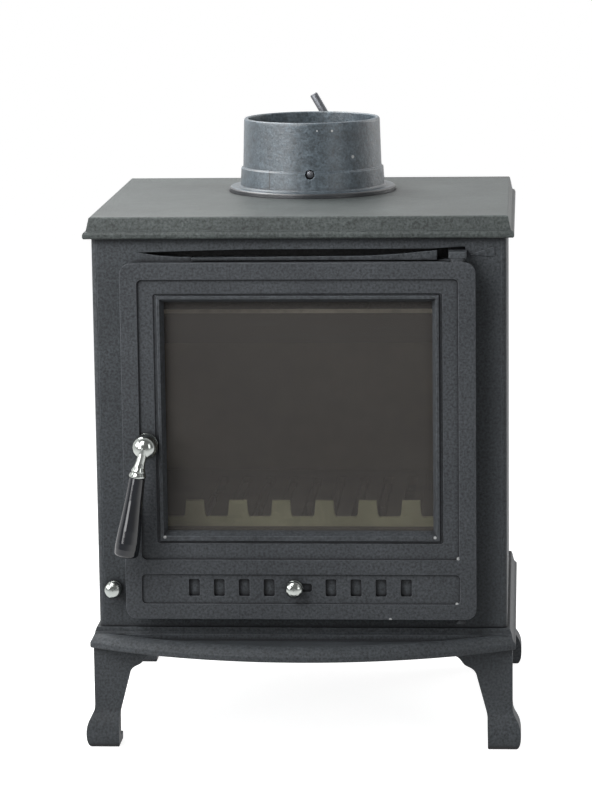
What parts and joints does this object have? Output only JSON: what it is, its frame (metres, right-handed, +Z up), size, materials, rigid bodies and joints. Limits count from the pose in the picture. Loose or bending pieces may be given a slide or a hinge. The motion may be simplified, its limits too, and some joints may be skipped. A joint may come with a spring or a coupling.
{
  "type": "wood stove",
  "caption": "Cast iron multifuel stove with a glazed door, chrome handle, bowed ash shelf, top flue collar with damper and short legs.",
  "frame": {"origin": "on the floor under the middle of the bounding box of the stove", "axes": "+X towards the stove's right side as seen from the front, +Y towards the back, +Z up along the flue collar"},
  "size_m": [0.4118, 0.4019, 0.5937],
  "materials": {
    "body_iron": "matte",
    "top_iron": "matte",
    "collar_iron": "matte",
    "inner_iron": "matte",
    "chrome": "polished",
    "steel": "satin",
    "grip": "gloss",
    "glass": "polished",
    "fibre": "matte",
    "firebrick": "matte"
  },
  "bodies": {
    "stove": {"base_plate": "body_iron", "left_side_panel": "body_iron", "right_side_panel": "body_iron", "back_panel": "body_iron", "front_frame": "body_iron", "top_plate": "top_iron", "flue_collar": "collar_iron", "collar_screws": "steel", "rear_blanking_plate": "body_iron", "blanking_bolts": "steel", "tie_rods": "steel", "tie_rod_nuts": "steel", "front_left_leg": "body_iron", "front_right_leg": "body_iron", "rear_left_leg": "body_iron", "rear_right_leg": "body_iron", "leg_bolts": "steel", "upper_hinge_lug": "body_iron", "lower_hinge_lug": "body_iron", "hinge_pins": "steel", "hinge_washer": "steel", "airwash_duct": "steel", "frame_screws": "steel", "hearth_plate": "inner_iron", "grate": "inner_iron", "comb_rails": "steel", "rail_screws": "steel", "riddling_bush": "chrome", "log_retainer": "inner_iron", "left_firebrick": "firebrick", "right_firebrick": "firebrick", "rear_firebrick": "firebrick", "baffle": "inner_iron", "ash_pan": "steel"},
    "stove_door": {"door": "body_iron", "door_glass": "glass", "glass_gasket": "fibre", "glass_clips": "steel", "glass_clip_screws": "steel", "door_rope": "fibre", "handle_rose": "chrome", "air_slide_guides": "steel", "air_guide_screws": "steel"},
    "latch_handle": {"latch_spindle": "steel", "handle_hub": "chrome", "handle_ferrule": "chrome", "handle_grip": "grip", "latch_cam": "steel", "latch_nut": "steel"},
    "primary_air": {"air_slide": "body_iron", "air_knob": "chrome"},
    "air_wash": {"airwash_slide": "body_iron"},
    "riddling": {"riddling_comb": "inner_iron", "riddling_rod": "steel", "riddling_knob": "chrome", "riddling_nut": "steel"},
    "flue_damper": {"damper_plate": "inner_iron", "damper_spindle": "steel", "damper_screws": "steel"}
  },
  "joints": [
    {"name": "door_hinge", "type": "hinge", "parent": "stove", "child": "stove_door", "pos_m": [0.15, -0.1535, 0.2955], "axis": [0, 0, 1], "range_deg": [0, 110]},
    {"name": "handle_turn", "type": "hinge", "parent": "stove_door", "child": "latch_handle", "pos_m": [-0.142, -0.1722, 0.2942], "axis": [0, 1, 0], "range_deg": [-30, 75]},
    {"name": "primary_air_slide", "type": "slide", "parent": "stove_door", "child": "primary_air", "axis": [1, 0, 0], "range_m": [0, 0.012]},
    {"name": "air_wash_slide", "type": "slide", "parent": "stove", "child": "air_wash", "axis": [1, 0, 0], "range_m": [0, 0.01]},
    {"name": "riddling_pull", "type": "slide", "parent": "stove", "child": "riddling", "axis": [0, -1, 0], "range_m": [0, 0.025]},
    {"name": "damper_turn", "type": "hinge", "parent": "stove", "child": "flue_damper", "pos_m": [0.002, 0.0833, 0.527], "axis": [0, 1, 0], "range_deg": [-90, 0]}
  ]
}
